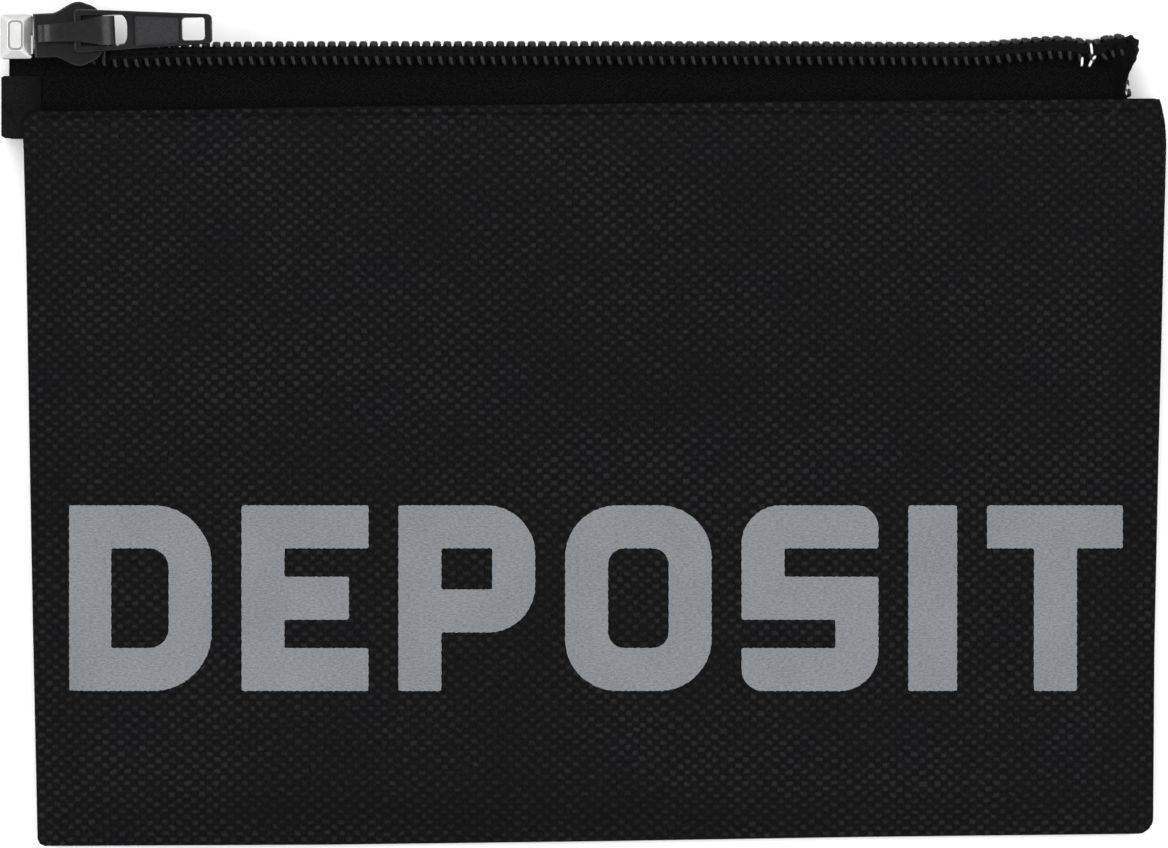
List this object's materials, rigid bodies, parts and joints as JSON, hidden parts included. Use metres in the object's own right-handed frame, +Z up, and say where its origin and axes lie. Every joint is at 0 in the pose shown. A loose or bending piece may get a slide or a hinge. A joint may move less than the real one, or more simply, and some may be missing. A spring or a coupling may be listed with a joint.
{
  "type": "zipped cash deposit bag",
  "caption": "Small flat black woven deposit bag with an open-end coil zip along its top edge, undone, with a sliding metal slider and a hinged pull tab.",
  "frame": {"origin": "on the resting plane, under the middle of the bag's bounding box", "axes": "+X along the zip from the slider to the top stops, +Y from the bottom seam to the zip, +Z up through the bag's thickness"},
  "size_m": [0.1794, 0.13, 0.0103],
  "materials": {
    "panel_fabric": "matte black heavy basket-woven nylon with a faint sheen on the yarn crowns",
    "zip_tape": "matte black fine woven polyester tape",
    "coil_nylon": "satin black nylon monofilament",
    "filler_cord": "matte black twisted cord",
    "sewing_thread": "soft satin black polyester thread",
    "end_film": "satin translucent grey film over black tape",
    "bright_metal": "bright nickel plate, lightly scuffed",
    "black_lacquer": "glossy black lacquer on die-cast metal",
    "print_silver": "flat silver-grey screen print, slightly rough over the weave"
  },
  "bodies": {
    "bag_back": {"back_panel": "panel_fabric", "back_tape": "zip_tape", "back_coil": "coil_nylon", "back_coil_cord": "filler_cord", "back_coil_thread": "sewing_thread", "back_end_film": "end_film", "back_top_stop": "bright_metal", "back_topstitch": "sewing_thread", "retainer_box": "bright_metal", "retainer_pin": "bright_metal", "insertion_pin": "bright_metal", "left_seam_thread": "sewing_thread", "bottom_seam_thread": "sewing_thread", "right_seam_thread": "sewing_thread"},
    "bag_front": {"front_panel": "panel_fabric", "front_tape": "zip_tape", "front_coil": "coil_nylon", "front_coil_cord": "filler_cord", "front_coil_thread": "sewing_thread", "front_end_film": "end_film", "front_top_stop": "bright_metal", "front_topstitch": "sewing_thread", "front_print": "print_silver"},
    "slider": {"slider_body": "black_lacquer"},
    "pull": {"pull_tab": "black_lacquer"}
  },
  "joints": [
    {"name": "mouth_open", "type": "hinge", "parent": "bag_back", "child": "bag_front", "pos_m": [0, -0.0653, 0.0012], "axis": [-1, 0, 0], "range_deg": [-12, 0], "deforming": ["front_tape", "front_coil", "front_coil_cord", "front_coil_thread"]},
    {"name": "slider_travel", "type": "slide", "parent": "bag_back", "child": "slider", "axis": [1, 0, 0], "range_m": [0, 0.149]},
    {"name": "pull_flip", "type": "hinge", "parent": "slider", "child": "pull", "pos_m": [-0.07767, 0.06027, 0.0081], "axis": [0.0175, -0.9998, 0], "range_deg": [0, 165]}
  ]
}
